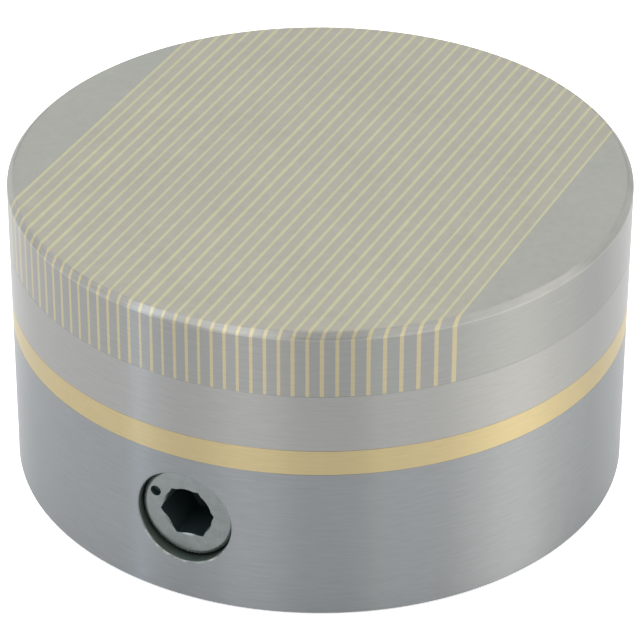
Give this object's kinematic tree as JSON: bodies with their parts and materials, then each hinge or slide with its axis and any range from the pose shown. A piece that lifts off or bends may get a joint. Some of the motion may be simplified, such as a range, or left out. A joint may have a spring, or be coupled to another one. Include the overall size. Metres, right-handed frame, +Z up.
{
  "type": "magnetic chuck",
  "caption": "Round switchable permanent magnetic chuck: laminated steel and brass pole plate on a steel case, switched by a hexagon key through half a turn.",
  "frame": {"origin": "centre of the underside", "axes": "+Z up through the work face, -Y out of the key socket, brass strips along Y"},
  "size_m": [0.1, 0.1, 0.0514],
  "materials": {
    "base_steel": "fine turned",
    "ring_steel": "fine turned",
    "plate_steel": "fine ground",
    "soft_iron": "ground",
    "magnet_plating": "nickel plated",
    "carrier_aluminium": "milled",
    "brass": "fine turned",
    "bronze": "turned",
    "shaft_steel": "hardened and polished",
    "dowel_steel": "ground",
    "screw_steel": "black oxide",
    "seal_rubber": "matt"
  },
  "bodies": {
    "case": {"base_body": "base_steel", "brass_ring": "brass", "upper_ring": "ring_steel", "slip_sheet": "brass", "pole_plate_left_segment": "plate_steel", "pole_plate_right_segment": "plate_steel", "pole_plate_bars": "plate_steel", "brass_strips": "brass", "fixed_pole_bars": "soft_iron", "fixed_magnets": "magnet_plating", "guide_key_front": "brass", "guide_key_rear": "brass", "guide_key_screws": "screw_steel", "shaft_bush": "bronze", "stop_screw": "screw_steel", "case_screws": "screw_steel", "locating_dowels": "dowel_steel"},
    "shaft": {"drive_shaft": "shaft_steel", "shaft_o_ring": "seal_rubber"},
    "block": {"drive_block": "bronze"},
    "carrier": {"magnet_carrier": "carrier_aluminium", "moving_pole_bars": "soft_iron", "moving_magnets": "magnet_plating"}
  },
  "joints": [
    {"name": "key_turn", "type": "hinge", "parent": "case", "child": "shaft", "pos_m": [0, -0.04, 0.015], "axis": [0, 1, 0], "range_deg": [0, 180]},
    {"name": "block_level", "type": "hinge", "parent": "shaft", "child": "block", "pos_m": [0.003, -0.0261, 0.015], "axis": [0, 1, 0], "range_deg": [-180, 0]},
    {"name": "carrier_slide", "type": "slide", "parent": "case", "child": "carrier", "axis": [1, 0, 0], "range_m": [-0.006, 0]}
  ],
  "couplings": [
    {"joint": "key_turn", "follows": "carrier_slide", "rad_per_m": -523.6},
    {"joint": "block_level", "follows": "carrier_slide", "rad_per_m": 523.6}
  ]
}
